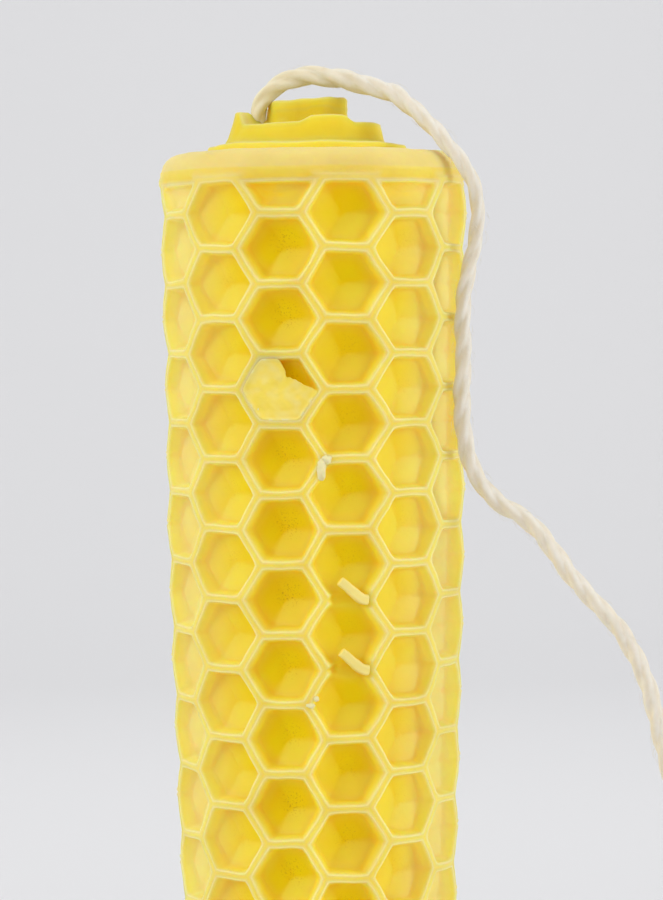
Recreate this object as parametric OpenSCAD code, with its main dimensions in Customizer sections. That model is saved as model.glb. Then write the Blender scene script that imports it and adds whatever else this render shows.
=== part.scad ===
// Cast beeswax candle with a honeycomb relief and a long cotton wick.
// Millimetres, +Z up, origin at the centre of the base. The front is -Y.

/* [Honeycomb] */
// Height of one cell, measured between its two flat walls
cell_pitch = 5.4; // [4.9:0.1:5.7]
// Columns of cells round the body, always an even number
cell_columns = 14; // [14:2:14]
// Full cells in a column that begins with a whole cell
cell_rows = 23; // [12:1:30]
// Thickness of a cell wall at its tip
wall_tip = 0.9; // [0.6:0.1:1.1]
// Thickness of a cell wall where it meets the floor
wall_foot = 1.5; // [1.2:0.1:1.6]
// Depth of a cell at its deepest point
cell_depth = 1.65; // [1.5:0.05:1.8]

/* [Body] */
// Radius of the lower half over the wall tips
foot_r = 10.9; // [10.5:0.1:11.2]
// How much the radius grows towards the middle of the upper half
belly_flare = 1.05; // [0:0.05:1.2]
// How much more it grows just below the rim
rim_flare = 0.3; // [0:0.1:0.4]
// Height of the smooth band above the base and below the rim
band_h = 2.3; // [2.0:0.1:3.0]
// Radius of the rounded shoulder at the rim
shoulder_r = 1.9; // [1.0:0.1:1.9]

/* [Stepped top] */
// Height of the second turn above the rim
turn2_h = 0.6; // [0.3:0.1:1.0]
// Height of the third turn above the rim
turn3_h = 2.2; // [1.6:0.1:2.2]
// Height of the centre block above the rim
block_h = 4.2; // [3.2:0.1:4.2]
// Height of the ragged lip on the left of the third turn
lip_h = 3.3; // [2.4:0.1:3.4]

/* [Wick] */
// Diameter of the wick
wick_d = 1.6; // [1.2:0.1:1.6]

/* [Torn and covered cells] */
// Thickness of the wax film across one cell
film_t = 0.3; // [0.2:0.05:0.4]
// Thickness of each torn wall
torn_t = 0.8; // [0.6:0.1:0.9]

/* [Hidden] */

$fn = 64;
wax_colour = [0.93, 0.80, 0.22];
pale_wax_colour = [0.95, 0.88, 0.50];
cotton_colour = [0.93, 0.90, 0.82];

column_angle = 360 / cell_columns;
body_h = cell_rows * cell_pitch + 2 * band_h;
overcut = 1;

// Flare of the body: smooth steps that start at these heights
belly_from = body_h - 70;
belly_rise = 45;
rim_from = body_h - 23;
rim_rise = 19;
profile_step = 4;

// Draft of the cell walls. The floor has three flat facets that meet at the deepest point:
// alternate corners lie facet_rise above it, and the others where the facets' planes put them.
facet_rise = 0.3;
wall_draft = (wall_foot - wall_tip) / 2 / (cell_depth - facet_rise / 2);
low_corner_depth = cell_depth - facet_rise;
facet_slope = 2 * facet_rise / cell_flat(low_corner_depth);
high_corner_depth =
    (cell_depth - facet_slope * cell_flat(0)) / (1 - 2 * facet_slope * wall_draft);

// Outlines of the raised turns: radius where each turn begins at the back, and where it ends
turn2_from = 8.9;
turn2_to = 7.0;
turn3_from = 6.6;
turn3_to = 5.0;
block_from = 3.3;
block_to = 2.6;
block_shift = -0.1;
spiral_points = 40;
root_depth = 1.2;
lip_inner_r = 5.3;
lip_outer_r = 6.1;
lip_first_angle = 165;
lip_sweep = 40;

// The wick runs from the centre of the base to a point beside the centre block
wick_r = wick_d / 2;
wick_exit = [-4.4, -0.8, body_h + turn3_h];
wick_run = norm(wick_exit);
wick_lean = acos(wick_exit[2] / wick_run);
wick_heading = atan2(wick_exit[1], wick_exit[0]);

// Route of the free wick, with heights counted from the rim
tail_route = [
    [-4.4, -0.8, 2.2], [-4.5, -0.8, 3.3], [-4.0, -0.9, 4.4], [-2.9, -1.0, 5.3],
    [-1.1, -1.2, 5.9], [0.8, -1.4, 5.8], [2.6, -1.7, 5.5], [4.6, -2.5, 5.1],
    [6.3, -3.5, 4.5], [7.8, -4.5, 3.3], [9.3, -5.4, 1.8], [10.6, -6.2, 0.2],
    [11.8, -6.4, -1.4], [12.6, -6.2, -3.2], [12.8, -5.9, -5.2], [12.6, -5.7, -7.2],
    [12.1, -5.7, -9.2], [11.7, -5.8, -11.4], [11.6, -5.8, -13.8], [11.6, -5.8, -16.2],
    [11.5, -5.9, -18.6], [11.5, -5.9, -20.8], [11.7, -5.9, -22.8], [12.2, -5.9, -24.8],
    [13.2, -5.9, -26.5], [14.6, -6.1, -27.8], [16.2, -6.3, -28.8], [17.5, -6.6, -30.0],
    [18.7, -6.9, -31.7], [20.1, -7.2, -33.6], [21.7, -7.4, -35.4], [23.3, -7.6, -37.2],
    [24.7, -7.8, -39.4], [25.7, -8.0, -41.8], [26.4, -8.0, -44.5], [27.1, -8.0, -47.4],
    [27.9, -8.0, -50.8], [28.4, -8.0, -54.6], [28.6, -8.0, -58.6], [28.6, -7.9, -62.8],
    [28.5, -7.8, -67.0], [28.3, -7.6, -71.2], [28.1, -7.4, -75.4]
];
tail_sides = 8;

// Cell under the film, and walls that are torn: column number and row counted down from the rim
film_column = -1;
film_row = 3;
torn_column = 0;
torn_rows = [6, 7];
film_inset = 0.15;
torn_depth = 1.1;
torn_left = -1.2;
torn_right = 1.6;

function smooth(t) = t <= 0 ? 0 : t >= 1 ? 1 : t * t * (3 - 2 * t);
function tip_r(z) =
    foot_r
    + belly_flare * smooth((z - belly_from) / belly_rise)
    + rim_flare * smooth((z - rim_from) / rim_rise);

// Odd columns begin with half a cell under the rim, even columns with a whole one
function row_z(column, row) =
    body_h - band_h - cell_pitch * (row + (column % 2 == 0 ? 0.5 : 0));
function azimuth(column) = (column + 0.5) * column_angle;

// The columns share out the whole round, so a cell widens with the radius that it stands at
function widening(r) = r * column_angle * PI / 180 / (cell_pitch * cos(30));
function hexagon(flat, widened) =
    [for (i = [0:5]) flat / 2 / cos(30) * [cos(60 * i) * widened, sin(60 * i)]];
function cell_flat(depth) = cell_pitch - wall_tip - 2 * wall_draft * depth;
function corner_depth(i) = i % 2 == 0 ? low_corner_depth : high_corner_depth;

function spiral(from, to) =
    [for (i = [0:spiral_points])
        let (t = i / spiral_points, r = from + (to - from) * t, a = 90 + 360 * t)
        r * [cos(a), sin(a)]];

// Puts what is drawn in X (across), Y (up) and Z (outwards) at a column and a height
module on_side(column, z) {
    translate([0, 0, z])
        rotate([0, 0, azimuth(column)])
        rotate([90, 0, 0])
        children();
}

// One cell: six drafted walls down to three sloping floor facets, open towards +Z
module cell_pocket(r) {
    widened = widening(r);
    mouth = hexagon(cell_flat(-overcut), widened);
    points = concat(
        [for (i = [0:5]) [mouth[i][0], mouth[i][1], r + overcut]],
        [for (i = [0:5])
            let (d = corner_depth(i), p = hexagon(cell_flat(d), widened)[i])
            [p[0], p[1], r - d]],
        [[0, 0, r - cell_depth]]
    );
    faces = concat(
        [[5, 4, 3, 2, 1, 0]],
        [for (i = [0:5]) [i, (i + 1) % 6, 6 + (i + 1) % 6, 6 + i]],
        [for (i = [0, 2, 4]) [12, 6 + i, 7 + i, 6 + (i + 2) % 6]]
    );
    polyhedron(points, faces);
}

// The half cells that the smooth bands leave: side is 1 for the upper half, -1 for the lower
module half_pocket(r, side) {
    intersection() {
        cell_pocket(r);
        translate([-cell_pitch, side > 0 ? 0 : -cell_pitch, r - 2 * cell_depth])
            cube([2 * cell_pitch, cell_pitch, 4 * cell_depth]);
    }
}

module column_of_cells(column) {
    begins_half = column % 2 != 0;
    first = begins_half ? 1 : 0;
    for (row = [first : cell_rows - 1])
        on_side(column, row_z(column, row)) cell_pocket(tip_r(row_z(column, row)));
    if (begins_half) {
        on_side(column, row_z(column, 0)) half_pocket(tip_r(row_z(column, 0)), -1);
        on_side(column, band_h) half_pocket(tip_r(band_h), 1);
    }
}

// The part of a horizontal wall that is torn out
module torn_gap(row) {
    z = row_z(torn_column, row - 0.5);
    on_side(torn_column, z)
        translate([torn_left, -wall_foot / 2, tip_r(z) - torn_depth])
        cube([torn_right - torn_left, wall_foot, torn_depth + overcut]);
}

module turned_body() {
    shoulder_z = body_h - shoulder_r;
    shoulder_x = tip_r(body_h) - shoulder_r;
    rotate_extrude()
        polygon(concat(
            [[0, 0], [foot_r, 0]],
            [for (z = [belly_from : profile_step : shoulder_z]) [tip_r(z), z]],
            [for (a = [0:15:90]) [shoulder_x + shoulder_r * cos(a), shoulder_z + shoulder_r * sin(a)]],
            [[0, body_h]]
        ));
}

// The fused turns of the top, each higher and smaller than the one outside it
module raised_turn(from, to, height) {
    translate([0, 0, body_h - root_depth])
        linear_extrude(height = root_depth + height)
        polygon(spiral(from, to));
}

module stepped_top() {
    raised_turn(turn2_from, turn2_to, turn2_h);
    raised_turn(turn3_from, turn3_to, turn3_h);
    translate([block_shift, 0, 0]) raised_turn(block_from, block_to, block_h);
    translate([0, 0, body_h])
        rotate([0, 0, lip_first_angle])
        rotate_extrude(angle = lip_sweep)
        translate([lip_inner_r, 0])
        square([lip_outer_r - lip_inner_r, lip_h]);
}

// Points a vertical shape along the wick, from the base towards the exit
module along_wick() {
    rotate([0, 0, wick_heading]) rotate([0, wick_lean, 0]) children();
}

module wax_body() {
    color(wax_colour)
    difference() {
        union() {
            turned_body();
            stepped_top();
        }
        for (column = [0 : cell_columns - 1]) column_of_cells(column);
        for (row = torn_rows) torn_gap(row);
        along_wick() translate([0, 0, -overcut]) cylinder(r = wick_r, h = wick_run + 3 * overcut);
    }
}

// The wick inside the wax, trimmed flush with the base
module wick_core() {
    color(cotton_colour)
    difference() {
        along_wick() translate([0, 0, -overcut]) cylinder(r = wick_r, h = wick_run + overcut);
        translate([-wick_d, -wick_d, -2 * overcut]) cube([2 * wick_d, 2 * wick_d, 2 * overcut]);
    }
}

function unit(v) = v / norm(v);
function tail_point(i) = tail_route[i] + [0, 0, body_h];
function tail_heading(i) =
    i == 0 ? unit(wick_exit) :
    i == len(tail_route) - 1 ? unit(tail_route[i] - tail_route[i - 1]) :
    unit(tail_route[i + 1] - tail_route[i - 1]);

// A ring of points round the route, square to it
function tail_ring(i) =
    let (
        t = tail_heading(i),
        n = unit([0, 1, 0] - t[1] * t),
        b = cross(t, n)
    )
    [for (k = [0 : tail_sides - 1])
        let (a = 360 * k / tail_sides)
        tail_point(i) + wick_r * (cos(a) * n + sin(a) * b)];

module wick_tail() {
    rings = len(tail_route);
    points = [for (i = [0 : rings - 1]) each tail_ring(i)];
    last = (rings - 1) * tail_sides;
    faces = concat(
        [[for (k = [0 : tail_sides - 1]) k]],
        [for (i = [0 : rings - 2], k = [0 : tail_sides - 1])
            let (a = i * tail_sides + k, b = i * tail_sides + (k + 1) % tail_sides)
            each [[a, a + tail_sides, b + tail_sides], [a, b + tail_sides, b]]],
        [[for (k = [tail_sides - 1 : -1 : 0]) last + k]]
    );
    color(cotton_colour) polyhedron(points, faces);
}

// A thin skin of wax across one cell, open along its upper right wall
module cell_film() {
    z = row_z(film_column, film_row);
    edge = hexagon(cell_flat(film_inset + film_t), widening(tip_r(z)));
    color(pale_wax_colour)
    on_side(film_column, z)
        translate([0, 0, tip_r(z) - film_inset - film_t])
        linear_extrude(height = film_t)
        polygon([
            edge[2], [-0.4, edge[2][1]], [0.5, 1.5], [1.2, 0.8], [1.8, 0.1],
            (edge[0] + edge[5]) / 2, edge[5], edge[4], edge[3]
        ]);
}

// What is left of a torn wall: still joined at its right end, its free end lifted up and to the left
module torn_wall(row) {
    z = row_z(torn_column, row - 0.5);
    half = torn_t / 2;
    color(pale_wax_colour)
    on_side(torn_column, z)
        translate([0, 0, tip_r(z) - torn_depth])
        linear_extrude(height = torn_depth)
        polygon([
            [torn_right, -half], [torn_right, half], [1.1, 0.8], [-0.1, 1.8],
            [-0.6, 1.2], [0.6, 0.2]
        ]);
}

module torn_wall_upper() { torn_wall(torn_rows[0]); }
module torn_wall_lower() { torn_wall(torn_rows[1]); }

wax_body();
wick_core();
wick_tail();
cell_film();
torn_wall_upper();
torn_wall_lower();
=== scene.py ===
"""Cast beeswax candle with a honeycomb relief, a stepped top and a long twisted cotton wick.

Lengths in the tables and formulas below are in millimetres, and MM turns them into metres where a mesh is made.
"""

import math
import random

import bpy
from mathutils import Matrix, Vector, noise


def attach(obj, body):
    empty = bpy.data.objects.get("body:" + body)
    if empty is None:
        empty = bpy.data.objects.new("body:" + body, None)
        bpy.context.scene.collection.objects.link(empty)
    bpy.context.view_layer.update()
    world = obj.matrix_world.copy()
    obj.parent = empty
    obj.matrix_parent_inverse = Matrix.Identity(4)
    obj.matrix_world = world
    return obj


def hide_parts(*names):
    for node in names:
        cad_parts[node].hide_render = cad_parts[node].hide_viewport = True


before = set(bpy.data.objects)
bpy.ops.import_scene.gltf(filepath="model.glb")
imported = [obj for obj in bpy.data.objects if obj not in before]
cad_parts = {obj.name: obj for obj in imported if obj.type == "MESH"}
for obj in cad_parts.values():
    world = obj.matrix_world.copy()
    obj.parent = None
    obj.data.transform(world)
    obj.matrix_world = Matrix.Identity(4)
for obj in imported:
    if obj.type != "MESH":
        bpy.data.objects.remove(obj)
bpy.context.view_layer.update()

MM = 0.001
random.seed(7)

# ---------------------------------------------------------------- driving dimensions, as in part.scad

PITCH = 5.4
COLUMNS = 14
ROWS = 23
BAND = 2.3
FOOT_R = 10.9
BELLY_FLARE = 1.05
RIM_FLARE = 0.3
SHOULDER_R = 1.9
CELL_DEPTH = 1.65
WICK_D = 1.6
FACET_RISE = 0.36  # part.scad has 0.30: a little steeper here, so that the facets of a floor read in soft light

BODY_H = ROWS * PITCH + 2 * BAND
HALF = PITCH / 2
SIDE = PITCH / math.sqrt(3)
COLUMN_STEP = 1.5 * SIDE
COLUMN_ANGLE = 2 * math.pi / COLUMNS

# Turns of the top: radius where the turn begins at the back, radius where it ends, height above the rim
TURN2 = (8.9, 7.0, 0.6)
TURN3 = (6.6, 5.0, 2.2)
BLOCK = (3.3, 2.6, 4.2)

# ---------------------------------------------------------------- camera

CAMERA_DISTANCE = 270.9
CAMERA_HEIGHT = BODY_H - 13.1
CAMERA_PITCH = math.radians(2.227)
CAMERA_YAW = math.radians(0.271)
CAMERA_ROLL = math.radians(0.45)
CAMERA_LENS = 135.7


def make_camera():
    forward = Vector(
        (
            math.sin(CAMERA_YAW) * math.cos(CAMERA_PITCH),
            math.cos(CAMERA_YAW) * math.cos(CAMERA_PITCH),
            -math.sin(CAMERA_PITCH),
        )
    )
    level = forward.cross(Vector((0, 0, 1))).normalized()
    upright = level.cross(forward)
    right = math.cos(CAMERA_ROLL) * level - math.sin(CAMERA_ROLL) * upright
    up = right.cross(forward)
    data = bpy.data.cameras.new("camera")
    data.sensor_width = 36
    data.lens = CAMERA_LENS
    data.clip_start = 0.01
    data.clip_end = 20
    camera = bpy.data.objects.new("camera", data)
    bpy.context.collection.objects.link(camera)
    turn = Matrix((right, up, -forward)).transposed().to_4x4()
    camera.matrix_world = Matrix.Translation(Vector((0, -CAMERA_DISTANCE, CAMERA_HEIGHT)) * MM) @ turn
    bpy.context.scene.camera = camera


make_camera()

# ---------------------------------------------------------------- small helpers


def smooth(t):
    t = min(max(t, 0.0), 1.0)
    return t * t * (3 - 2 * t)


def mix(a, b, t):
    return a + (b - a) * t


def wobble(x, y, z, scale):
    """Smooth noise from -1 to 1, with features about scale millimetres wide."""
    return noise.noise(Vector((x, y, z)) / scale)


def tip_r(z):
    """Radius of the body over the wall tips at a height."""
    belly = BELLY_FLARE * smooth((z - BODY_H + 70) / 45)
    rim = RIM_FLARE * smooth((z - BODY_H + 23) / 19)
    return FOOT_R + belly + rim


def make_mesh(name, points, faces, attributes=None):
    """An object from points in millimetres. attributes maps a name to one number for each point."""
    mesh = bpy.data.meshes.new(name)
    mesh.from_pydata([(x * MM, y * MM, z * MM) for x, y, z in points], [], faces)
    for key, values in (attributes or {}).items():
        layer = mesh.attributes.new(key, "FLOAT", "POINT")
        layer.data.foreach_set("value", values)
    mesh.shade_smooth()
    obj = bpy.data.objects.new(name, mesh)
    bpy.context.collection.objects.link(obj)
    return obj


def weld(obj, distance):
    """Merges points of the object that lie closer than the distance, in metres."""
    modifier = obj.modifiers.new("weld", "WELD")
    modifier.merge_threshold = distance
    with bpy.context.temp_override(object=obj, active_object=obj, selected_objects=[obj]):
        bpy.ops.object.modifier_apply(modifier="weld")


# ---------------------------------------------------------------- wick

# Route of the free wick, with heights counted from the rim. It follows tail_route in part.scad, but arches about
# 0.25 mm higher over the top.
TAIL_ROUTE = [
    (-4.4, -0.8, 2.2), (-4.3, -0.8, 3.3), (-3.8, -0.9, 4.4), (-2.8, -1.0, 5.3),
    (-1.1, -1.2, 6.0), (0.8, -1.4, 6.0), (2.6, -1.7, 5.75), (4.6, -2.5, 5.1),
    (6.3, -3.5, 4.5), (7.8, -4.5, 3.3), (9.3, -5.4, 1.8), (10.6, -6.2, 0.2),
    (11.8, -6.4, -1.4), (12.6, -6.2, -3.2), (12.8, -5.9, -5.2), (12.6, -5.7, -7.2),
    (12.1, -5.7, -9.2), (11.7, -5.8, -11.4), (11.6, -5.8, -13.8), (11.6, -5.8, -16.2),
    (11.5, -5.9, -18.6), (11.5, -5.9, -20.8), (11.7, -5.9, -22.8), (12.2, -5.9, -24.8),
    (13.2, -5.9, -26.5), (14.6, -6.1, -27.8), (16.2, -6.3, -28.8), (17.5, -6.6, -30.0),
    (18.7, -6.9, -31.7), (20.1, -7.2, -33.6), (21.7, -7.4, -35.4), (23.3, -7.6, -37.2),
    (24.7, -7.8, -39.4), (25.7, -8.0, -41.8), (26.4, -8.0, -44.5), (27.1, -8.0, -47.4),
    (27.9, -8.0, -50.8), (28.4, -8.0, -54.6), (28.6, -8.0, -58.6), (28.6, -7.9, -62.8),
    (28.5, -7.8, -67.0), (28.3, -7.6, -71.2), (28.1, -7.4, -75.4),
]
TWIST_PITCH = 7.5
PLIES = 3
YARNS_PER_PLY = 5
WICK_STEP = 0.16
WICK_SIDES = 54


def spline(points, step):
    """Catmull-Rom curve through the points, cut at even steps of about that length."""
    fine = []
    ends = [2 * points[0] - points[1]] + points + [2 * points[-1] - points[-2]]
    for i in range(1, len(ends) - 2):
        a, b, c, d = ends[i - 1 : i + 3]
        for k in range(16):
            t = k / 16
            fine.append(
                0.5 * (2 * b + (c - a) * t + (2 * a - 5 * b + 4 * c - d) * t**2 + (3 * b - a - 3 * c + d) * t**3)
            )
    fine.append(points[-1])
    run = [0.0]
    for p, q in zip(fine, fine[1:]):
        run.append(run[-1] + (q - p).length)
    count = max(2, round(run[-1] / step))
    out, j = [], 0
    for k in range(count + 1):
        want = run[-1] * k / count
        while j < len(run) - 2 and run[j + 1] < want:
            j += 1
        t = (want - run[j]) / max(run[j + 1] - run[j], 1e-9)
        out.append(fine[j].lerp(fine[j + 1], min(t, 1.0)))
    return out


def frames(path):
    """A direction square to the path at each point, carried along without twisting."""
    headings = []
    for i in range(len(path)):
        headings.append((path[min(i + 1, len(path) - 1)] - path[max(i - 1, 0)]).normalized())
    side = headings[0].orthogonal().normalized()
    out = []
    for h in headings:
        side = (side - h * side.dot(h)).normalized()
        out.append((h, side, h.cross(side)))
    return out


RIM = Vector((0, 0, BODY_H))
tail_path = spline([Vector(p) + RIM for p in TAIL_ROUTE], WICK_STEP)
core_path = [Vector((0, 0, 0)).lerp(tail_path[0], k / 400) for k in range(401)]
core_length = tail_path[0].length

# Thickness of the wick beside its nominal size, by the distance from the point where it leaves the wax
THICKNESS = [(0, 0.80), (5, 1.02), (10, 1.06), (16, 0.92), (21, 0.80), (27, 0.76), (33, 0.82), (40, 0.90), (103, 0.92)]


def along_table(table, place):
    """Value of a table of places and values, with straight lines between its entries."""
    place = min(max(place, table[0][0]), table[-1][0])
    for (a, first), (b, second) in zip(table, table[1:]):
        if place <= b:
            return mix(first, second, (place - a) / (b - a))


def ply_radius(angle, along, loose):
    """Radius of the twisted wick, which is the union of round plies, and how high the yarn stands there, 0 to 1."""
    ply_r = 0.305 * WICK_D
    offset = WICK_D / 2 - ply_r
    turn = 2 * math.pi * along / TWIST_PITCH
    best, best_ply, best_local = 0.0, 0, 0.0
    for k in range(PLIES):
        centre = 2 * math.pi * k / PLIES + turn
        swell = ply_r * (1 + 0.10 * wobble(along, 7 * k, 0, 2.6))
        reach = offset * (1 + 0.12 * wobble(3 * k, along, 5, 3.4) * loose)
        away = math.atan2(math.sin(angle - centre), math.cos(angle - centre))
        across = reach * math.sin(away)
        if abs(across) < swell and math.cos(away) > 0:
            out = reach * math.cos(away) + math.sqrt(swell**2 - across**2)
            if out > best:
                best, best_ply, best_local = out, k, math.asin(across / swell)
    groove = 0.5 + 0.5 * math.cos(YARNS_PER_PLY * best_local * 1.6 + 2 * math.pi * along / 1.9 + best_ply)
    best = max(best, 0.40 * WICK_D)
    return best - 0.04 * groove**2, groove


def wick_tube(name, path, start_along, loose=1.0):
    """A closed tube with the twisted outline round the path. start_along carries the twist on from another piece."""
    points, faces, shade, waxed = [], [], [], []
    rails = frames(path)
    along = start_along
    for i, (p, (_, side, other)) in enumerate(zip(path, rails)):
        if i:
            along += (p - path[i - 1]).length
        squeeze = along_table(THICKNESS, along - core_length)
        for k in range(WICK_SIDES):
            angle = 2 * math.pi * k / WICK_SIDES
            r, groove = ply_radius(angle, along, loose)
            q = p + (side * math.cos(angle) + other * math.sin(angle)) * r * squeeze
            points.append(q)
            shade.append(groove)
            waxed.append(smooth(1 - (along - core_length) / 14))
    rings = len(path)
    for i in range(rings - 1):
        for k in range(WICK_SIDES):
            a, b = i * WICK_SIDES + k, i * WICK_SIDES + (k + 1) % WICK_SIDES
            faces.append((a, b, b + WICK_SIDES, a + WICK_SIDES))
    for ring, flip in ((0, True), (rings - 1, False)):
        middle = len(points)
        points.append(path[ring])
        shade.append(1.0)
        waxed.append(0.0 if flip else waxed[-1])
        for k in range(WICK_SIDES):
            a, b = ring * WICK_SIDES + k, ring * WICK_SIDES + (k + 1) % WICK_SIDES
            faces.append((middle, b, a) if flip else (middle, a, b))
    return make_mesh(name, points, faces, {"groove": shade, "waxed": waxed}), along


wick_core, core_end = wick_tube("wick_core_yarn", core_path, 0.0, loose=0.0)
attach(wick_core, "root")
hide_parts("wick_core")

wick_tail, tail_end = wick_tube("wick_tail_yarn", tail_path, core_end)
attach(wick_tail, "root")
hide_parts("wick_tail")


def fibre(path, radius):
    """Points and faces of one thin three-sided fibre, closed at both ends."""
    points, faces = [], []
    for i, (p, (_, side, other)) in enumerate(zip(path, frames(path))):
        r = radius * (1 - 0.7 * i / (len(path) - 1))
        for k in range(3):
            a = 2 * math.pi * k / 3
            points.append(p + (side * math.cos(a) + other * math.sin(a)) * r)
    n = len(path)
    for i in range(n - 1):
        for k in range(3):
            a, b = 3 * i + k, 3 * i + (k + 1) % 3
            faces.append((a, b, b + 3, a + 3))
    faces.append((2, 1, 0))
    faces.append((3 * n - 3, 3 * n - 2, 3 * n - 1))
    return points, faces


def join_fibres(name, fibres):
    points, faces = [], []
    for some_points, some_faces in fibres:
        base = len(points)
        points += some_points
        faces += [tuple(base + i for i in f) for f in some_faces]
    return make_mesh(name, points, faces, {"groove": [0.3] * len(points), "waxed": [0.0] * len(points)})


def surface_fibres(count):
    """Short stray fibres that lift off the twisted surface and lie down again."""
    rails = frames(tail_path)
    made = []
    for _ in range(count):
        i = random.randrange(20, len(tail_path) - 20)
        angle = random.uniform(0, 2 * math.pi)
        lift = random.uniform(0.05, 0.28)
        run = random.uniform(0.5, 1.5)
        slant = random.uniform(0.2, 1.3) * random.choice((-1, 1))
        path = []
        for k in range(7):
            t = k / 6
            a = angle + slant * t
            r = WICK_D / 2 * 0.93 + lift * math.sin(math.pi * min(1, t * 0.8))
            j = min(i + int(run * t / WICK_STEP), len(tail_path) - 1)
            hj, sj, oj = rails[j]
            path.append(tail_path[j] + (sj * math.cos(a) + oj * math.sin(a)) * r + hj * 0.02 * t)
        made.append(fibre(path, random.uniform(0.009, 0.016)))
    return made


def frayed_end():
    """The cut end of the wick, where its yarns come loose."""
    h, side, other = frames(tail_path)[-1]
    made = []
    for _ in range(90):
        a = random.uniform(0, 2 * math.pi)
        r0 = 0.72 * math.sqrt(random.random())
        spread = random.uniform(0.9, 1.5)
        run = random.uniform(0.6, 2.2)
        bend = Vector([random.uniform(-0.25, 0.25) for _ in range(3)])
        path = []
        for k in range(6):
            t = k / 5
            r = r0 * mix(1.0, spread, t)
            out = (side * math.cos(a + 0.5 * t) + other * math.sin(a + 0.5 * t)) * r
            path.append(tail_path[-1] + out + h * (run * t - 0.3) + bend * t * t)
        made.append(fibre(path, random.uniform(0.03, 0.055)))
    return made


wick_fuzz = join_fibres("wick_fibres", surface_fibres(420))
wick_brush = join_fibres("wick_frayed_end", frayed_end())
for piece in (wick_fuzz, wick_brush):
    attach(piece, "root")

# ---------------------------------------------------------------- wax body: honeycomb

SEGMENTS = 6  # points along one side of a cell
WALL_DIRECTIONS = [math.radians(30 + 60 * k) for k in range(6)]  # from the middle of a cell to its six walls

# From the middle of a wall to the floor: distance in from the middle, depth below the tip, sharpness of the corners,
# and how deep the yellow is, from 0 to 1. The last column is painted light and shade: a painted highlight on the
# crest, pale painted light on the wall tips and a deeper yellow painted as shade down towards the floor
WALL = [
    (0.00, 0.08, None, 0.16),
    (0.12, 0.05, 60, 0.08),
    (0.22, 0.00, 45, 0.00),
    (0.29, 0.04, 36, 0.02),
    (0.35, 0.17, 30, 0.10),
    (0.41, 0.44, 26, 0.24),
    (0.47, 0.78, 22, 0.42),
    (0.57, 1.12, 18, 0.56),
    (0.74, 9.00, 16, 0.68),
    (1.15, 9.00, 12, 0.82),
    (1.70, 9.00, 10, 0.94),
    (2.25, 9.00, 10, 1.00),
]
FACET_SLOPE = 2 * FACET_RISE / (2.25 / math.cos(math.radians(30)))
HALF_DEPTH = 0.62  # how deep a half cell is, beside a whole one
RUN_OUT = 0.55  # slope by which a half cell rises to the smooth band
COLUMN_SHIFT = 0.26  # how far the front column sits to one side of its even place
SHEEN_FROM, SHEEN_OVER = 24, 50  # degrees from the front where the painted sheen begins, and over which it grows
SHEEN_AMOUNT = 0.75

TORN_ROWS = (6, 7)
TORN_FROM, TORN_TO = -1.25, 1.6
TORN_DEPTH = 1.12


def row_z(column, row):
    return BODY_H - BAND - PITCH * (row + (0.5 if column % 2 == 0 else 0))


def azimuth(across):
    """Angle from the front, for a distance along the flattened surface counted from column 0."""
    return (across / COLUMN_STEP + 0.5) * COLUMN_ANGLE


def on_body(across, z, depth):
    """Point of the wax surface, with the unevenness of a hand-made casting."""
    a = azimuth(across)
    r = tip_r(z)
    x, y = r * math.sin(a), -r * math.cos(a)
    edge = smooth((z - 0.6) / 3) * smooth((BODY_H - 1.2 - z) / 3)
    from_front = math.remainder(across, COLUMNS * COLUMN_STEP)
    a += (edge * 0.16 * wobble(x, y, z + 40, 3.1) - COLUMN_SHIFT * math.exp(-(((from_front + 0.3) / 2.6) ** 2))) / r
    a += edge * 0.05 * wobble(x, y + 60, z, 0.9) / r
    z += edge * (0.13 * wobble(x + 30, y, z, 2.7) + 0.05 * wobble(x, y + 90, z, 0.9))
    r += 0.10 * wobble(x, y + 20, z, 6.0) + 0.035 * wobble(x, y, z, 1.1)
    r -= depth
    return (r * math.sin(a), -r * math.cos(a), z)


def floor_depth(x, y):
    """Three flat facets that meet at the deepest point of a cell."""
    rise = max(x * math.cos(t) + y * math.sin(t) for t in (math.pi / 3, math.pi, -math.pi / 3))
    return CELL_DEPTH - FACET_SLOPE * rise


def painted_facet_light(column, x, y, inset):
    """Painted light and shade on each facet of a floor, as the depth of the yellow: the lower right facet is painted
    paler, as if lit, and the upper right one deeper, as if in shade.
    """
    turned = smooth((math.remainder(azimuth(column * COLUMN_STEP), 2 * math.pi) + 0.25) / 0.9)
    weights, total = 0.0, 0.0
    for angle, shade in ((60, 1.10), (180, mix(1.06, 0.58, turned)), (300, 0.48)):
        facing = x * math.cos(math.radians(angle)) + y * math.sin(math.radians(angle))
        weight = math.exp(5.0 * facing)
        weights += weight * shade
        total += weight
    return mix(1.0, weights / total, smooth((inset - 0.35) / 0.4))


def torn_depth(column, row_line, x, y):
    """How far down the surface has to be where a wall is torn out, or 0."""
    if column != 0:
        return 0.0
    inside = smooth((x - TORN_FROM) / 0.3) * smooth((TORN_TO - x) / 0.3) * smooth((0.85 - abs(y)) / 0.2)
    ragged = 0.12 * wobble(x, y, 9 * row_line, 0.7)
    return inside * (TORN_DEPTH + ragged)


def band_edge(across):
    """Depth of the surface where the cells meet a smooth band: the half cells run out into it without a wall."""
    column = 2 * round((across / COLUMN_STEP - 1) / 2) + 1
    return 0.30 * smooth((SIDE - 0.25 - abs(across - column * COLUMN_STEP)) / 0.8)


def side_sheen(across):
    """Painted sheen that makes the wax paler round the two sides than at the front and back, from 0 to 1."""
    away = abs(math.degrees(math.remainder(azimuth(across), 2 * math.pi)))
    return smooth((away - SHEEN_FROM) / SHEEN_OVER) * (1 - 0.6 * smooth((away - 95) / 60))


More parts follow.
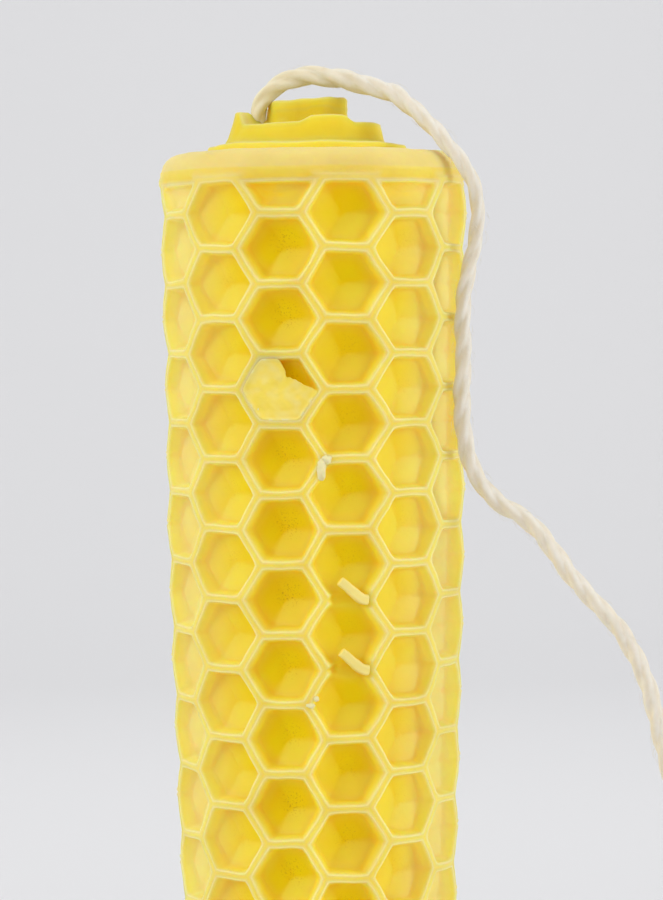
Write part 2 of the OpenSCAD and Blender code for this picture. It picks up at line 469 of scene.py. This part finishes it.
class Shell:
    """Collects the points, faces and shading values of the wax body."""

    def __init__(self):
        self.points, self.faces = [], []
        self.relief, self.grit, self.veil, self.mellow = [], [], [], []

    def add(self, point, relief, grit=0.0, veil=0.0, mellow=0.0):
        self.points.append(point)
        self.relief.append(relief)
        self.grit.append(grit)
        self.veil.append(veil)
        self.mellow.append(mellow)
        return len(self.points) - 1

    def strip(self, outer, inner):
        n = len(outer)
        for k in range(n):
            self.faces.append((outer[k], outer[(k + 1) % n], inner[(k + 1) % n], inner[k]))

    def fan(self, ring, middle):
        n = len(ring)
        for k in range(n):
            self.faces.append((ring[k], ring[(k + 1) % n], middle))


def polyline(corners, counts):
    """Points along a closed outline, with each side cut into its own number of parts."""
    out = []
    for i, n in enumerate(counts):
        a, b = corners[i], corners[(i + 1) % len(corners)]
        out += [(mix(a[0], b[0], k / n), mix(a[1], b[1], k / n)) for k in range(n)]
    return out


def add_cell(shell, column, z, kind):
    """kind is 0 for a whole cell, -1 for the lower half under the rim band, 1 for the upper half above the base."""
    centre_x = column * COLUMN_STEP
    hexagon = [(SIDE * math.cos(math.radians(60 * i)), SIDE * math.sin(math.radians(60 * i))) for i in range(6)]
    normals = [(way, HALF) for way in WALL_DIRECTIONS]
    if kind == 0:
        middle = (0.0, 0.0)
        outline = polyline(hexagon, [SEGMENTS] * 6)
    elif kind < 0:
        middle = (0.0, -0.5 * HALF)
        outline = polyline([hexagon[0], hexagon[3], hexagon[4], hexagon[5]], [2 * SEGMENTS] + [SEGMENTS] * 3)
        normals = [n for n in normals if math.sin(n[0]) < -0.1] + [(math.pi / 2, 0.0)]
    else:
        middle = (0.0, 0.5 * HALF)
        outline = polyline([hexagon[0], hexagon[1], hexagon[2], hexagon[3]], [SEGMENTS] * 3 + [2 * SEGMENTS])
        normals = [n for n in normals if math.sin(n[0]) > 0.1] + [(-math.pi / 2, 0.0)]
    key = (column * 3.7, z * 0.9)
    shallow = 0.10 * wobble(key[0], key[1], 3, 1.0)
    gritty = (0.75 if column == -1 % COLUMNS else 0.40) * smooth(0.7 + 1.2 * wobble(key[0], key[1], 9, 1.0))
    gritty *= (1 - side_sheen(centre_x)) ** 3 if kind == 0 else 0.0
    rings = []
    for inset, depth, sharp, deep in WALL:
        ring = []
        for px, py in outline:
            phi = math.atan2(py - middle[1], px - middle[0])
            if sharp is None:
                x, y = px, py
            else:
                total = 0.0
                for angle, height in normals:
                    reach = height - (middle[0] * math.cos(angle) + middle[1] * math.sin(angle))
                    facing = math.cos(phi - angle)
                    if facing > 0:
                        total += (facing / max(reach - min(inset, 0.9 * reach), 0.12)) ** sharp
                r = total ** (-1 / sharp)
                x, y = middle[0] + r * math.cos(phi), middle[1] + r * math.sin(phi)
            floor = (floor_depth(x, y) + shallow) * (1.0 if kind == 0 else HALF_DEPTH)
            d = min(depth if kind == 0 or sharp is None else depth * HALF_DEPTH, floor)
            near_band = smooth((BODY_H - BAND - z - y) / 0.6) * smooth((z + y - BAND) / 0.6)
            if sharp is None or inset < 0.2:
                d *= near_band
            if kind:
                gap = abs(BODY_H - BAND - z - y) if kind < 0 else z + y - BAND
                edge = band_edge(centre_x + x)
                if sharp is None:
                    d = edge if gap < 0.001 else d
                else:
                    d = max(min(d, edge + 0.05 + RUN_OUT * gap), edge * smooth((1.4 - gap) / 1.4))
            torn = max(torn_depth(column, line, x, z + y - row_z(0, line - 0.5)) for line in TORN_ROWS)
            d = max(d, torn)
            # Painted light and shade: the yellow is pale where light falls on the tips and deeper where shade falls in
            # the hollow. Half cells get less of the painted shade; the gap where a wall is torn out keeps at least a
            # middle depth of it
            shade = deep * painted_facet_light(column, x, y, inset)
            # Painted sheen: a pale veil over the hollows round the two sides
            veil = SHEEN_AMOUNT * side_sheen(centre_x + x) * smooth(deep / 0.35)
            if kind:
                shade *= 0.8
            if column == 0 and kind == 0 and torn > 0.2:
                shade = max(shade, 0.62 * smooth(torn))
            near = smooth(1.25 - math.hypot(x - 0.25, y - 0.45) / 1.3)
            ring.append(shell.add(on_body(centre_x + x, z + y, d), shade, gritty * near, veil))
        rings.append(ring)
    for outer, inner in zip(rings, rings[1:]):
        shell.strip(outer, inner)
    d = (floor_depth(*middle) + shallow) * (1.0 if kind == 0 else HALF_DEPTH)
    shade = 1.0 if kind == 0 else 0.6
    apex = shell.add(on_body(centre_x + middle[0], z + middle[1], d), shade, gritty, SHEEN_AMOUNT * side_sheen(centre_x))
    shell.fan(rings[-1], apex)


def honeycomb(shell):
    for column in range(COLUMNS):
        half_first = column % 2 != 0
        for row in range(1 if half_first else 0, ROWS):
            add_cell(shell, column, row_z(column, row), 0)
        if half_first:
            add_cell(shell, column, row_z(column, 0), -1)
            add_cell(shell, column, BAND, 1)


def band_points():
    """Distances along the surface of the points that the cells leave on the edge of a smooth band."""
    out = []
    for column in range(COLUMNS):
        half_width, n = (SIDE / 2, SEGMENTS) if column % 2 == 0 else (SIDE, 2 * SEGMENTS)
        out += [column * COLUMN_STEP + mix(-half_width, half_width, k / n) for k in range(n)]
    return out


# ---------------------------------------------------------------- wax body: rim, stepped top and base


def turn_radius(turn, angle):
    """Outline of a raised turn: a spiral that begins and ends at the back, with a torn edge."""
    t = ((math.degrees(angle) - 90) % 360) / 360
    ragged = 0.10 * wobble(3 * math.cos(angle), 3 * math.sin(angle), turn[0], 0.8)
    return mix(turn[0], turn[1], t) + ragged


def turn_height(turn, angle):
    """Height of a raised turn above the rim, a little uneven as it goes round."""
    t = ((math.degrees(angle) - 90) % 360) / 360
    return turn[2] + 0.12 * wobble(2 * math.cos(angle), 2 * math.sin(angle), 3 * turn[2], 1.0) + 0.1 * t


def bump_at(angle, centre, width):
    """1 at a direction, falling to 0 at half the width on either side, in degrees."""
    away = abs((math.degrees(angle) - centre + 180) % 360 - 180)
    return smooth((width / 2 - away) / (0.25 * width))


def top_profile(angle):
    """Radius, height above the rim and painted light and shade of the top, from the shoulder inwards, in one
    direction: painted highlights on the edges of the turns and deeper yellow painted as shade at their feet.
    """
    rim_r = tip_r(BODY_H)
    r2, r3, rb = (turn_radius(t, angle) for t in (TURN2, TURN3, BLOCK))
    h2, h3, hb = (turn_height(t, angle) for t in (TURN2, TURN3, BLOCK))
    h3 += 1.05 * bump_at(angle, 183, 44) + 0.45 * bump_at(angle, 283, 50)
    rb += 0.45 * bump_at(angle, 185, 120)
    hb += 0.12 * math.cos(angle)
    left = bump_at(angle, 183, 60)
    flare = mix(0.40, 0.95, smooth(0.5 - 0.5 * math.cos(angle)))
    shoulder = rim_r - SHOULDER_R
    line = []
    for step in range(1, 7):
        a = math.radians(15 * step)
        inside = 0.13 * (1 - step / 6)
        line.append((shoulder + SHOULDER_R * math.cos(a) - inside, SHOULDER_R * (math.sin(a) - 1), 0.02))
    line += [
        (r2 + 0.75, 0.03, 0.05),
        (r2 + 0.22, -0.02, 0.30),
        (r2 + 0.05, -0.12, 1.00),
        (r2 - 0.02, 0.05, 0.80),
        (r2 - 0.05, h2 - 0.18, 0.25),
        (r2 - 0.16, h2 - 0.04, 0.00),
        (r2 - 0.40, h2, 0.05),
        (max(mix(r2, r3, 0.5), r3 + flare + 0.1), h2 + 0.02, 0.15),
        (r3 + flare * 0.80, h2 + 0.16, 0.50),
        (r3 + flare * 0.52, mix(h2, h3, 0.24), 0.80),
        (r3 + flare * 0.32, mix(h2, h3, 0.46), 1.00),
        (r3 + flare * 0.12, mix(h2, h3, 0.68), 0.90),
        (r3 - 0.02, h3 - 0.30, 0.55),
        (r3 - 0.06, h3 - 0.10, 0.10),
        (r3 - 0.20, h3, 0.00),
        (mix(r3, rb, 0.35), h3 - 0.05, 0.10),
        (mix(r3, rb, 0.75), h3 - 0.22 - 0.5 * left, 0.50),
        (rb + 0.14, h3 - 0.10 - 0.5 * left, 1.00),
        (rb + 0.05, h3 + 0.15, 1.00),
        (rb - 0.02, mix(h3, hb, 0.40), 0.90),
        (rb + 0.02, mix(h3, hb, 0.55), 0.45),
        (rb - 0.02, mix(h3, hb, 0.68), 0.75),
        (rb - 0.01, hb - 0.20, 0.15),
        (rb - 0.09, hb - 0.03, 0.00),
        (rb - 0.30, hb, 0.00),
        (rb * 0.70, hb - 0.03, 0.10),
        (rb * 0.35, hb - 0.10, 0.20),
    ]
    return line


def top(shell, edge):
    """The smooth band under the rim, the shoulder and the raised turns."""
    rings = []
    angles = [azimuth(x) for x in edge]
    # Painted shade on the band: the yellow deepens where the surface lies deeper
    for rise, ridge in ((0.0, 0.0), (0.12, 0.0), (0.24, 0.03), (0.36, 0.10), (0.52, 0.14), (0.75, 0.14)):
        keep = smooth(1 - rise / 0.75)
        depths = [mix(ridge, band_edge(x), keep) if band_edge(x) else ridge for x in edge]
        rings.append(
            [shell.add(on_body(x, BODY_H - BAND + rise, d), 0.05 + 0.6 * d) for x, d in zip(edge, depths)]
        )
    profiles = [top_profile(a - math.pi / 2) for a in angles]
    for step in range(len(profiles[0])):
        ring = []
        for a, profile in zip(angles, profiles):
            r, h, relief = profile[step]
            x, y = r * math.sin(a), -r * math.cos(a)
            lift = 0.05 * wobble(x, y, h, 1.3) + 0.09 * wobble(x, y, 3 + h, 4.0)
            swell = 1 + 0.006 * wobble(x, y, h + 8, 1.5)
            # Painted shade over the raised turns, growing inwards
            mellow = smooth((step - 7) / 6)
            place = (x * swell, y * swell, BODY_H + h + lift)
            ring.append(shell.add(place, 0.34 * relief + 2.0 * min(relief, 0.05), mellow=mellow))
        rings.append(ring)
    for low, high in zip(rings, rings[1:]):
        shell.strip(low, high)
    middle = shell.add((0, 0, BODY_H + BLOCK[2] - 0.1), 0.2, mellow=1.0)
    shell.fan(rings[-1], middle)


BASE_CHAMFER = 0.35
WICK_HOLE_R = 0.86
WICK_HOLE_DEPTH = 1.5


def base(shell, edge):
    """The smooth band above the base, the flat base and the small recess round the wick."""
    angles = [azimuth(x) for x in edge]
    rings = []
    # Painted shade on the band: the yellow deepens where the surface lies deeper
    for drop, ridge in ((0.0, 0.0), (0.12, 0.0), (0.24, 0.03), (0.36, 0.10), (0.52, 0.10), (1.0, 0.08), (1.6, 0.04)):
        keep = smooth(1 - drop / 0.75)
        depths = [mix(ridge, band_edge(x), keep) if band_edge(x) else ridge for x in edge]
        rings.append([shell.add(on_body(x, BAND - drop, d), 0.05 + 1.0 * d) for x, d in zip(edge, depths)])
    flat = [(FOOT_R - 0.02, BASE_CHAMFER), (FOOT_R - 0.12, 0.12), (FOOT_R - BASE_CHAMFER, 0.0)]
    flat += [(r, 0.0) for r in (9.0, 7.0, 5.0, 3.0, 1.5, WICK_HOLE_R + 0.1)]
    flat += [(WICK_HOLE_R, 0.08), (WICK_HOLE_R, WICK_HOLE_DEPTH)]
    for r, z in flat:
        rings.append([shell.add((r * math.sin(a), -r * math.cos(a), z), 0.25) for a in angles])
    for high, low in zip(rings, rings[1:]):
        shell.strip(low, high)
    # Painted shade: the yellow deepens towards the middle of the wick recess
    middle = shell.add((0, 0, WICK_HOLE_DEPTH), 1.0)
    ring = rings[-1]
    for k in range(len(ring)):
        shell.faces.append((ring[(k + 1) % len(ring)], ring[k], middle))


def make_wax_body():
    shell = Shell()
    honeycomb(shell)
    edge = band_points()
    top(shell, edge)
    base(shell, edge)
    values = {"relief": shell.relief, "grit": shell.grit, "veil": shell.veil, "mellow": shell.mellow}
    body = make_mesh("wax_casting", shell.points, shell.faces, values)
    weld(body, 0.00002)
    return body


wax_body = make_wax_body()
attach(wax_body, "root")
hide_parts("wax_body")

# ---------------------------------------------------------------- film, torn walls and crumbs

FILM_COLUMN, FILM_ROW = -1, 3
FILM_DEPTH = 0.16
FILM_T = 0.26
FILM_REACH = HALF - 0.30  # from the middle of the cell towards a wall

# The open corner of the film: direction in degrees and how far the film reaches there
FILM_GAP = [(-6, 2.7), (2, 2.2), (8, 1.72), (35, 1.15), (64, 1.0), (78, 1.45), (90, 2.05), (97, 2.6)]


def film_edge(angle):
    """Reach of the film from the middle of the cell. It stops short at the upper right."""
    total = sum(max(0.0, math.cos(angle - way)) ** 22 for way in WALL_DIRECTIONS)
    reach = FILM_REACH * total ** (-1 / 22)
    degrees = (math.degrees(angle) + 180) % 360 - 180
    for (a, near), (b, far) in zip(FILM_GAP, FILM_GAP[1:]):
        if a <= degrees <= b:
            ragged = 0.10 * wobble(degrees / 9, 0, 2, 1.0)
            return min(reach, mix(near, far, (degrees - a) / (b - a)) + ragged)
    return reach


def make_film():
    z = row_z(FILM_COLUMN, FILM_ROW)
    centre_x = FILM_COLUMN * COLUMN_STEP
    around, rings = 120, 24
    points, faces, relief = [], [], []
    for layer in (0, 1):
        for j in range(rings + 1):
            t = j / rings
            for k in range(around):
                a = 2 * math.pi * k / around
                r = film_edge(a) * t
                x, y = r * math.cos(a), r * math.sin(a)
                sag = 0.13 * (1 - t**2) + 0.10 * wobble(x, y, 4, 0.9) + 0.04 * wobble(x, y, 8, 0.35)
                inset = HALF - max(x * math.cos(way) + y * math.sin(way) for way in WALL_DIRECTIONS)
                joined = smooth((0.62 - inset) / 0.32)
                thin = FILM_T * (1 - 0.5 * t**4)
                d = mix(FILM_DEPTH + sag, 0.045, joined) + (thin if layer else 0)
                points.append(on_body(centre_x + x, z + y, d))
                # Colour of the film: blotches of its own tone, pale painted light where it joins the walls and painted
                # highlight flecks along its lower rim
                blot = 0.30 * wobble(x + 3, y, 1, 0.55) + 0.25 * wobble(x, y, 6, 1.6)
                bottom_highlight = 0.5 * joined * smooth(-y) * smooth(2.2 * wobble(x, y, 5, 0.45))
                relief.append(max(0.04, 0.42 + blot - 0.20 * joined - bottom_highlight))
    n = around * (rings + 1)
    for layer in (0, 1):
        for j in range(rings):
            for k in range(around):
                a, b = layer * n + j * around + k, layer * n + j * around + (k + 1) % around
                quad = (a, a + around, b + around, b)
                faces.append(quad if layer == 0 else quad[::-1])
    last = rings * around
    for k in range(around):
        a, b = last + k, last + (k + 1) % around
        faces.append((a, n + a, n + b, b))
    film = make_mesh("cell_film_skin", points, faces, {"relief": relief})
    weld(film, 0.000005)
    return film


def make_torn_wall(name, line, lean):
    """A strip of torn wall from its joint at the right to its free end, which is lifted up and to the left."""
    z = row_z(0, line - 0.5)
    spine = [(1.55, -0.05), (1.25, 0.0), (0.9, 0.18), (0.45, 0.57), (0.0, 0.98 + lean), (-0.52, 1.42 + lean)]
    path = spline([Vector((x, y, 0)) for x, y in spine], 0.11)
    points, faces, relief = [], [], []
    across = [(-0.36, 1.05), (-0.42, 0.55), (-0.38, 0.12), (-0.28, 0.0), (0.0, 0.05), (0.28, 0.0), (0.38, 0.12),
              (0.42, 0.55), (0.36, 1.05)]
    n = len(across)
    for i, p in enumerate(path):
        q = path[min(i + 1, len(path) - 1)] - path[max(i - 1, 0)]
        side = Vector((-q.y, q.x, 0)).normalized()
        t = i / (len(path) - 1)
        width = mix(1.0, 0.86, t) * (1 + 0.10 * wobble(i * 0.2, line, 0, 0.6))
        for offset, depth in across:
            spot = p + side * offset * width
            end = 0.10 * wobble(offset * 5, line, t, 0.5) * smooth((t - 0.7) / 0.3)
            d = depth * mix(1.0, 0.9, t) - 0.10 * t + 0.04 * wobble(spot.x, spot.y, line, 0.4)
            points.append(on_body(spot.x + end, z + spot.y, d))
            # Painted light and shade: pale along the top of the strip, deeper yellow down its sides
            relief.append(0.1 + 0.5 * min(depth, 1))
    for i in range(len(path) - 1):
        for k in range(n):
            a, b = i * n + k, i * n + (k + 1) % n
            faces.append((a, a + n, b + n, b))
    faces.append(tuple(range(n)))
    faces.append(tuple(range((len(path) - 1) * n, len(path) * n))[::-1])
    wall = make_mesh(name, points, faces, {"relief": relief})
    finer = wall.modifiers.new("finer", "SUBSURF")
    finer.levels = finer.render_levels = 1
    return wall


def crumb(name, across, z, depth, size, stretch, seed):
    """A rough crumb of wax that sits on the surface."""
    points, faces = [], []
    rows, around = 10, 16
    for j in range(rows + 1):
        polar = math.pi * j / rows
        for k in range(around):
            a = 2 * math.pi * k / around
            x, y, w = math.sin(polar) * math.cos(a), math.sin(polar) * math.sin(a), math.cos(polar)
            lump = 1 + 0.45 * wobble(x + seed, y, w, 0.6) + 0.2 * wobble(x, y + seed, w, 0.25)
            spot = on_body(across + size * stretch[0] * x * lump, z + size * stretch[1] * y * lump, depth)
            base_r = math.hypot(spot[0], spot[1])
            grow = 1 + size * 0.55 * w * lump / base_r
            points.append((spot[0] * grow, spot[1] * grow, spot[2]))
    for j in range(rows):
        for k in range(around):
            a, b = j * around + k, j * around + (k + 1) % around
            faces.append((a, a + around, b + around, b))
    piece = make_mesh(name, points, faces, {"relief": [0.0] * len(points)})
    weld(piece, 0.000004)
    return piece


film = make_film()
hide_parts("cell_film")
film.visible_shadow = False  # stands in for the light that passes through so thin a skin
torn_upper = make_torn_wall("torn_wall_upper_flap", TORN_ROWS[0], 0.05)
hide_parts("torn_wall_upper")
torn_lower = make_torn_wall("torn_wall_lower_flap", TORN_ROWS[1], -0.05)
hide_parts("torn_wall_lower")

# Crumbs: place along the flattened surface, height below the rim, depth, size and stretch
CRUMBS = [
    (-1.80, -24.7, -0.02, 0.46, (0.8, 1.6)),
    (-1.45, -23.9, 0.0, 0.33, (1.1, 1.0)),
    (-2.75, -42.8, 0.02, 0.26, (1.2, 0.8)),
    (-2.30, -42.3, 0.05, 0.20, (1.0, 1.0)),
    (-5.05, -20.6, 0.30, 0.16, (1.3, 0.8)),
    (-6.35, -20.1, 0.25, 0.14, (1.0, 1.2)),
]
crumbs = [
    crumb(f"wax_crumb_{i + 1}", x, BODY_H + drop, depth, size, stretch, 3.1 * i)
    for i, (x, drop, depth, size, stretch) in enumerate(CRUMBS)
]
for piece in [film, torn_upper, torn_lower] + crumbs:
    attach(piece, "root")

# ---------------------------------------------------------------- materials


def new_material(name):
    material = bpy.data.materials.new(name)
    material.use_nodes = True
    nodes, links = material.node_tree.nodes, material.node_tree.links
    shader = next(n for n in nodes if n.type == "BSDF_PRINCIPLED")
    return material, nodes, links, shader


def object_noise(nodes, links, scale, detail=3.0):
    """Noise fixed to the object. scale is in features per metre."""
    coordinates = nodes.new("ShaderNodeTexCoord")
    texture = nodes.new("ShaderNodeTexNoise")
    texture.inputs["Scale"].default_value = scale
    texture.inputs["Detail"].default_value = detail
    links.new(coordinates.outputs["Object"], texture.inputs["Vector"])
    return texture.outputs["Fac"]


def stored(nodes, name):
    """The value that a mesh stores at its points under this name."""
    node = nodes.new("ShaderNodeAttribute")
    node.attribute_name = name
    return node.outputs["Fac"]


def colour_ramp(nodes, links, value, stops):
    ramp = nodes.new("ShaderNodeValToRGB")
    links.new(value, ramp.inputs["Fac"])
    while len(ramp.color_ramp.elements) < len(stops):
        ramp.color_ramp.elements.new(0.5)
    for element, (place, colour) in zip(ramp.color_ramp.elements, stops):
        element.position = place
        element.color = (*colour, 1)
    return ramp.outputs["Color"]


def blend_colours(nodes, links, amount, first, second, mode="MIX"):
    node = nodes.new("ShaderNodeMix")
    node.data_type = "RGBA"
    node.blend_type = mode
    if isinstance(amount, float):
        node.inputs["Factor"].default_value = amount
    else:
        links.new(amount, node.inputs["Factor"])
    for value, socket in ((first, node.inputs["A"]), (second, node.inputs["B"])):
        if isinstance(value, tuple):
            socket.default_value = (*value, 1)
        else:
            links.new(value, socket)
    return node.outputs["Result"]


def bump(nodes, links, height, strength, distance, normal=None):
    node = nodes.new("ShaderNodeBump")
    node.inputs["Strength"].default_value = strength
    node.inputs["Distance"].default_value = distance
    links.new(height, node.inputs["Height"])
    if normal:
        links.new(normal, node.inputs["Normal"])
    return node.outputs["Normal"]


# Stops of the wax colour, from a painted highlight on the crests and pale painted light on the wall tips to deeper
# yellow painted as shade in the hollows
CREST_HIGHLIGHT_WAX = (0.83, 0.71, 0.29)
LIT_TIP_WAX = (0.80, 0.655, 0.235)
WHITE_WAX = (0.90, 0.83, 0.48)
THIN_PALE_WAX = (0.95, 0.79, 0.25)
FILM_WAX = (0.97, 0.76, 0.13)
CREAM_WAX = (0.87, 0.70, 0.11)
YELLOW_WAX = (0.97, 0.75, 0.06)
# Colour of the painted sheen round the two sides
SHEEN_WAX = (0.96, 0.82, 0.32)
HOLLOW_SHADE_WAX = (0.99, 0.71, 0.0005)
GRIT_WAX = (0.62, 0.33, 0.002)
TOP_SHADE_TINT = (0.83, 0.86, 0.74)  # painted shade that dims the raised turns of the top, which face the lamps most
COTTON_TOP = (0.82, 0.775, 0.68)
COTTON_GROOVE_SHADE = (0.79, 0.72, 0.59)
WAXED_TINT = (1.0, 0.96, 0.74)  # where the wick has soaked up wax


def beeswax(name, stops, scatter, scatter_scale):
    """Translucent beeswax: a painted highlight and pale painted light on the wall tips, deeper yellow painted as shade
    on the cell floors, painted sheen round the sides, painted shade over the raised turns of the top, fine grain and
    specks.
    """
    material, nodes, links, shader = new_material(name)
    colour = colour_ramp(nodes, links, stored(nodes, "relief"), stops)
    # Painted sheen round the two sides
    colour = blend_colours(nodes, links, stored(nodes, "veil"), colour, SHEEN_WAX)
    dots = colour_ramp(nodes, links, object_noise(nodes, links, 7500, 2.0), [(0.56, (0, 0, 0)), (0.70, (1, 1, 1))])
    amount = nodes.new("ShaderNodeMath")
    amount.operation = "MULTIPLY"
    links.new(stored(nodes, "grit"), amount.inputs[0])
    links.new(dots, amount.inputs[1])
    colour = blend_colours(nodes, links, amount.outputs["Value"], colour, GRIT_WAX)
    patches = colour_ramp(
        nodes, links, object_noise(nodes, links, 210), [(0.36, (0.94, 0.93, 0.88)), (0.64, (1.0, 1.0, 1.0))]
    )
    colour = blend_colours(nodes, links, 1.0, colour, patches, "MULTIPLY")
    # Painted shade over the raised turns of the top
    tint = colour_ramp(nodes, links, stored(nodes, "mellow"), [(0.0, (1.0, 1.0, 1.0)), (1.0, TOP_SHADE_TINT)])
    colour = blend_colours(nodes, links, 1.0, colour, tint, "MULTIPLY")
    links.new(colour, shader.inputs["Base Color"])
    rough = nodes.new("ShaderNodeMapRange")
    rough.inputs["To Min"].default_value = 0.34
    rough.inputs["To Max"].default_value = 0.56
    links.new(object_noise(nodes, links, 900), rough.inputs["Value"])
    links.new(rough.outputs["Result"], shader.inputs["Roughness"])
    grain = bump(nodes, links, object_noise(nodes, links, 3800, 2.0), 0.35, 0.00004)
    waves = bump(nodes, links, object_noise(nodes, links, 700, 2.0), 0.5, 0.00012, grain)
    links.new(waves, shader.inputs["Normal"])
    shader.inputs["Subsurface Weight"].default_value = scatter
    shader.inputs["Subsurface Radius"].default_value = (1.0, 0.65, 0.18)
    shader.inputs["Subsurface Scale"].default_value = scatter_scale
    shader.inputs["IOR"].default_value = 1.44
    shader.inputs["Specular IOR Level"].default_value = 0.16
    return material


def cotton():
    """Cream cotton with fine fibres across each ply and painted shade in the grooves between the yarns."""
    material, nodes, links, shader = new_material("wick_cotton")
    colour = colour_ramp(nodes, links, stored(nodes, "groove"), [(0.0, COTTON_TOP), (1.0, COTTON_GROOVE_SHADE)])
    mottle = colour_ramp(
        nodes, links, object_noise(nodes, links, 1500), [(0.35, (0.96, 0.95, 0.93)), (0.65, (1.0, 1.0, 1.0))]
    )
    colour = blend_colours(nodes, links, 1.0, colour, mottle, "MULTIPLY")
    tint = colour_ramp(nodes, links, stored(nodes, "waxed"), [(0.0, (1.0, 1.0, 1.0)), (1.0, WAXED_TINT)])
    colour = blend_colours(nodes, links, 1.0, colour, tint, "MULTIPLY")
    links.new(colour, shader.inputs["Base Color"])
    fine = bump(nodes, links, object_noise(nodes, links, 9000, 3.0), 0.5, 0.00004)
    links.new(fine, shader.inputs["Normal"])
    shader.inputs["Roughness"].default_value = 0.85
    shader.inputs["Sheen Weight"].default_value = 0.25
    shader.inputs["Sheen Roughness"].default_value = 0.5
    shader.inputs["Subsurface Weight"].default_value = 0.35
    shader.inputs["Subsurface Radius"].default_value = (1.0, 0.85, 0.65)
    shader.inputs["Subsurface Scale"].default_value = 0.0005
    return material


wax_material = beeswax(
    "beeswax",
    [(0.0, CREST_HIGHLIGHT_WAX), (0.04, LIT_TIP_WAX), (0.17, CREAM_WAX), (0.38, YELLOW_WAX), (0.90, HOLLOW_SHADE_WAX)],
    1.0,
    0.0028,
)
thin_wax_material = beeswax(
    "thin_beeswax", [(0.0, WHITE_WAX), (0.12, THIN_PALE_WAX), (0.45, FILM_WAX), (1.0, YELLOW_WAX)], 0.2, 0.0002
)
cotton_material = cotton()
wax_body.data.materials.append(wax_material)
for piece in [film, torn_upper, torn_lower] + crumbs:
    piece.data.materials.append(thin_wax_material)
for piece in (wick_core, wick_tail, wick_fuzz, wick_brush):
    piece.data.materials.append(cotton_material)

# ---------------------------------------------------------------- floor, backdrop and light

FLOOR_HALF_WIDTH = 1.6
FLOOR_FRONT = -1.2
WALL_Y = 1.3
WALL_TOP = 1.6
BEND_R = 0.5
SKY_STRENGTH = 0.62
CANDLE_MIDDLE = (0, 0, 0.09)


def make_backdrop():
    """A floor that bends up into a wall behind the candle, in one pale sheet."""
    line = [(FLOOR_FRONT, 0.0), (WALL_Y - BEND_R, 0.0)]
    for k in range(1, 13):
        a = math.radians(90 * k / 12)
        line.append((WALL_Y - BEND_R + BEND_R * math.sin(a), BEND_R * (1 - math.cos(a))))
    line.append((WALL_Y, WALL_TOP))
    points, faces = [], []
    for y, z in line:
        points += [(-FLOOR_HALF_WIDTH, y, z), (FLOOR_HALF_WIDTH, y, z)]
    for k in range(len(line) - 1):
        faces.append((2 * k, 2 * k + 1, 2 * k + 3, 2 * k + 2))
    mesh = bpy.data.meshes.new("backdrop")
    mesh.from_pydata(points, [], faces)
    mesh.shade_smooth()
    obj = bpy.data.objects.new("backdrop", mesh)
    bpy.context.collection.objects.link(obj)
    material, _, _, shader = new_material("pale_backdrop")
    shader.inputs["Base Color"].default_value = (0.78, 0.78, 0.794, 1)
    shader.inputs["Roughness"].default_value = 0.9
    shader.inputs["Specular IOR Level"].default_value = 0.1
    mesh.materials.append(material)


def area_light(name, place, aim, size, power, colour=(1, 1, 1)):
    data = bpy.data.lights.new(name, "AREA")
    data.shape = "DISK"
    data.size = size
    data.energy = power
    data.color = colour
    light = bpy.data.objects.new(name, data)
    bpy.context.collection.objects.link(light)
    light.location = place
    light.rotation_mode = "QUATERNION"
    light.rotation_quaternion = (Vector(aim) - Vector(place)).to_track_quat("-Z", "Y")


def make_light():
    world = bpy.data.worlds.new("studio")
    world.use_nodes = True
    background = next(n for n in world.node_tree.nodes if n.type == "BACKGROUND")
    background.inputs["Color"].default_value = (1.0, 1.0, 1.0, 1)
    background.inputs["Strength"].default_value = SKY_STRENGTH
    bpy.context.scene.world = world
    area_light("left", (-0.50, -0.26, 0.42), CANDLE_MIDDLE, 0.30, 1.45)
    area_light("right", (0.60, -0.20, 0.24), CANDLE_MIDDLE, 0.30, 1.45)
    area_light("above", (-0.02, -0.06, 0.75), CANDLE_MIDDLE, 0.40, 0.75)
    # This one faces away from the candle. It lights the wall, and the floor near it.
    area_light("wall", (0.0, 0.45, 0.70), (0, WALL_Y, 0.33), 0.80, 2.1)


make_backdrop()
make_light()
bpy.context.scene.view_settings.view_transform = "Standard"
